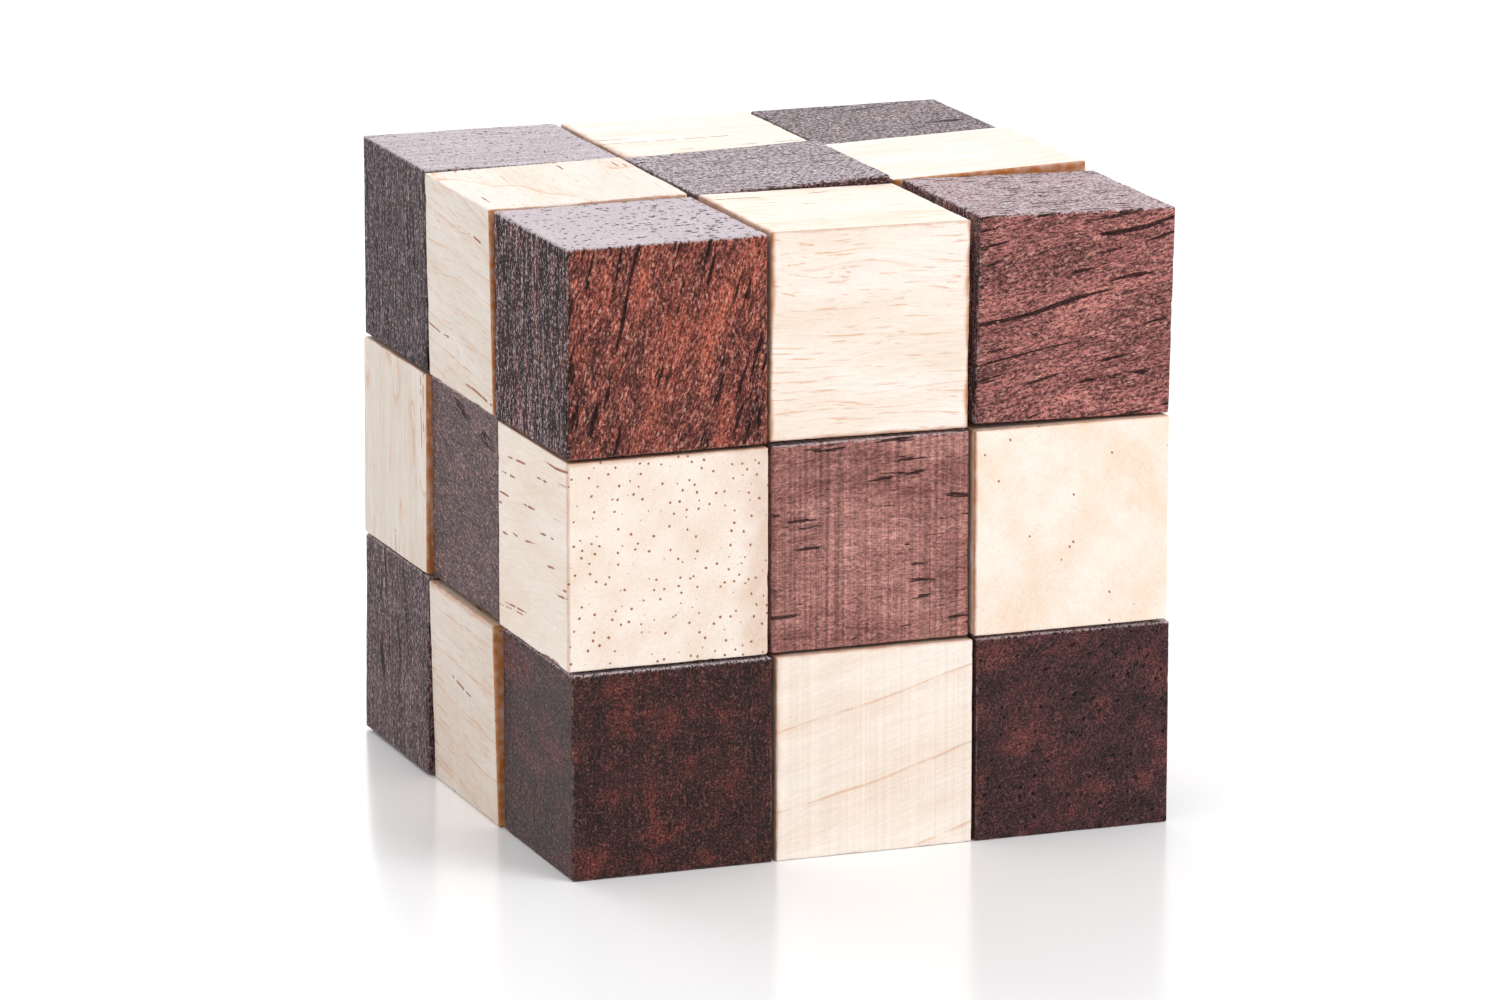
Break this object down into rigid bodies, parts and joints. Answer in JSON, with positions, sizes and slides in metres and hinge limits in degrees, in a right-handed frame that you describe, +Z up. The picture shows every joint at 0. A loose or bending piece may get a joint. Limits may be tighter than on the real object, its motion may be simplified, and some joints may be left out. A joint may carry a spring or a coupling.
{
  "type": "snake cube puzzle",
  "caption": "Folding cube puzzle of alternating dark and light wooden cubelets strung on one elastic cord.",
  "frame": {"origin": "middle of the folded cube's underside, on the bottom centre cubelet", "axes": "+Z up, +Y towards the back of the folded cube, +X to its right"},
  "size_m": [0.0609, 0.0603, 0.0604],
  "materials": {
    "dark_wood": "dark red-brown stained hardwood, sawn and lightly sanded, matt",
    "light_wood": "pale unstained hardwood, sanded, matt",
    "plug_wood": "pale dowel, glued and sanded flush",
    "elastic_cord": "braided elastic cord, matt"
  },
  "bodies": {
    "cubelets_09_to_16": {"cubelet_09_dark_corner": "dark_wood", "cubelet_10_light_corner": "light_wood", "cubelet_11_dark_corner": "dark_wood", "cubelet_12_light_corner": "light_wood", "cubelet_13_dark_straight": "dark_wood", "cubelet_14_light_corner": "light_wood", "cubelet_15_dark_straight": "dark_wood", "cubelet_16_light_corner": "light_wood", "elastic_09_to_16": "elastic_cord"},
    "cubelet_01": {"cubelet_01_dark_end": "dark_wood", "elastic_01": "elastic_cord", "knot_a": "elastic_cord", "plug_a": "plug_wood"},
    "cubelet_02": {"cubelet_02_light_straight": "light_wood", "elastic_02": "elastic_cord"},
    "cubelet_03": {"cubelet_03_dark_corner": "dark_wood", "elastic_03": "elastic_cord"},
    "cubelet_04": {"cubelet_04_light_straight": "light_wood", "elastic_04": "elastic_cord"},
    "cubelet_05": {"cubelet_05_dark_corner": "dark_wood", "elastic_05": "elastic_cord"},
    "cubelet_06": {"cubelet_06_light_straight": "light_wood", "elastic_06": "elastic_cord"},
    "cubelet_07": {"cubelet_07_dark_corner": "dark_wood", "elastic_07": "elastic_cord"},
    "cubelet_08": {"cubelet_08_light_straight": "light_wood", "elastic_08": "elastic_cord"},
    "cubelets_17_to_21": {"cubelet_17_dark_corner": "dark_wood", "cubelet_18_light_corner": "light_wood", "cubelet_19_dark_straight": "dark_wood", "cubelet_20_light_corner": "light_wood", "cubelet_21_dark_corner": "dark_wood", "elastic_17_to_21": "elastic_cord"},
    "cubelet_22": {"cubelet_22_light_straight": "light_wood", "elastic_22": "elastic_cord"},
    "cubelet_23": {"cubelet_23_dark_corner": "dark_wood", "elastic_23": "elastic_cord"},
    "cubelet_24": {"cubelet_24_light_corner": "light_wood", "elastic_24": "elastic_cord"},
    "cubelet_25": {"cubelet_25_dark_corner": "dark_wood", "elastic_25": "elastic_cord"},
    "cubelet_26": {"cubelet_26_light_straight": "light_wood", "elastic_26": "elastic_cord"},
    "cubelet_27": {"cubelet_27_dark_end": "dark_wood", "elastic_27": "elastic_cord", "knot_b": "elastic_cord", "plug_b": "plug_wood"}
  },
  "joints": [
    {"name": "link_08_09_stretch", "type": "slide", "parent": "cubelets_09_to_16", "child": "cubelet_08", "axis": [-1, 0, 0], "range_m": [0, 0.006], "stiffness_N_per_m": 60, "springref_m": -0.01},
    {"name": "end_a_pull_and_swing", "type": "slide", "parent": "cubelet_08", "child": "cubelet_07", "axis": [-1, 0, 0], "range_m": [0, 0.0157], "stiffness_N_per_m": 60, "springref_m": -0.01},
    {"name": "link_06_07_stretch", "type": "slide", "parent": "cubelet_07", "child": "cubelet_06", "axis": [0, 0, 1], "range_m": [0, 0.006], "stiffness_N_per_m": 60, "springref_m": -0.01},
    {"name": "link_05_06_stretch", "type": "slide", "parent": "cubelet_06", "child": "cubelet_05", "axis": [0, 0, 1], "range_m": [0, 0.006], "stiffness_N_per_m": 60, "springref_m": -0.01},
    {"name": "link_04_05_stretch", "type": "slide", "parent": "cubelet_05", "child": "cubelet_04", "axis": [0, -1, 0], "range_m": [0, 0.006], "stiffness_N_per_m": 60, "springref_m": -0.01},
    {"name": "link_03_04_swing", "type": "hinge", "parent": "cubelet_04", "child": "cubelet_03", "pos_m": [-0.02, -0.02, 0.04985], "axis": [0, 1, 0], "range_deg": [0, 90]},
    {"name": "link_02_03_stretch", "type": "slide", "parent": "cubelet_03", "child": "cubelet_02", "axis": [0, 0, -1], "range_m": [0, 0.006], "stiffness_N_per_m": 60, "springref_m": -0.01},
    {"name": "link_01_02_stretch", "type": "slide", "parent": "cubelet_02", "child": "cubelet_01", "axis": [0, 0, -1], "range_m": [0, 0.006], "stiffness_N_per_m": 60, "springref_m": -0.01},
    {"name": "link_16_17_stretch", "type": "slide", "parent": "cubelets_09_to_16", "child": "cubelets_17_to_21", "axis": [1, 0, 0], "range_m": [0, 0.006], "stiffness_N_per_m": 60, "springref_m": -0.01},
    {"name": "link_21_22_stretch", "type": "slide", "parent": "cubelets_17_to_21", "child": "cubelet_22", "axis": [1, 0, 0], "range_m": [0, 0.006], "stiffness_N_per_m": 60, "springref_m": -0.01},
    {"name": "end_b_pull_and_swing", "type": "slide", "parent": "cubelet_22", "child": "cubelet_23", "axis": [1, 0, 0], "range_m": [0, 0.0157], "stiffness_N_per_m": 60, "springref_m": -0.01},
    {"name": "link_23_24_stretch", "type": "slide", "parent": "cubelet_23", "child": "cubelet_24", "axis": [0, -1, 0], "range_m": [0, 0.006], "stiffness_N_per_m": 60, "springref_m": -0.01},
    {"name": "link_24_25_swing", "type": "hinge", "parent": "cubelet_24", "child": "cubelet_25", "pos_m": [0.02, -0.02, 0.04985], "axis": [0, 0, -1], "range_deg": [0, 90]},
    {"name": "link_25_26_stretch", "type": "slide", "parent": "cubelet_25", "child": "cubelet_26", "axis": [0, 1, 0], "range_m": [0, 0.006], "stiffness_N_per_m": 60, "springref_m": -0.01},
    {"name": "link_26_27_stretch", "type": "slide", "parent": "cubelet_26", "child": "cubelet_27", "axis": [0, 1, 0], "range_m": [0, 0.006], "stiffness_N_per_m": 60, "springref_m": -0.01}
  ],
  "couplings": [
    {"joint": "link_03_04_swing", "follows": "end_a_pull_and_swing", "rad_per_m": 100},
    {"joint": "link_24_25_swing", "follows": "end_b_pull_and_swing", "rad_per_m": 100}
  ]
}
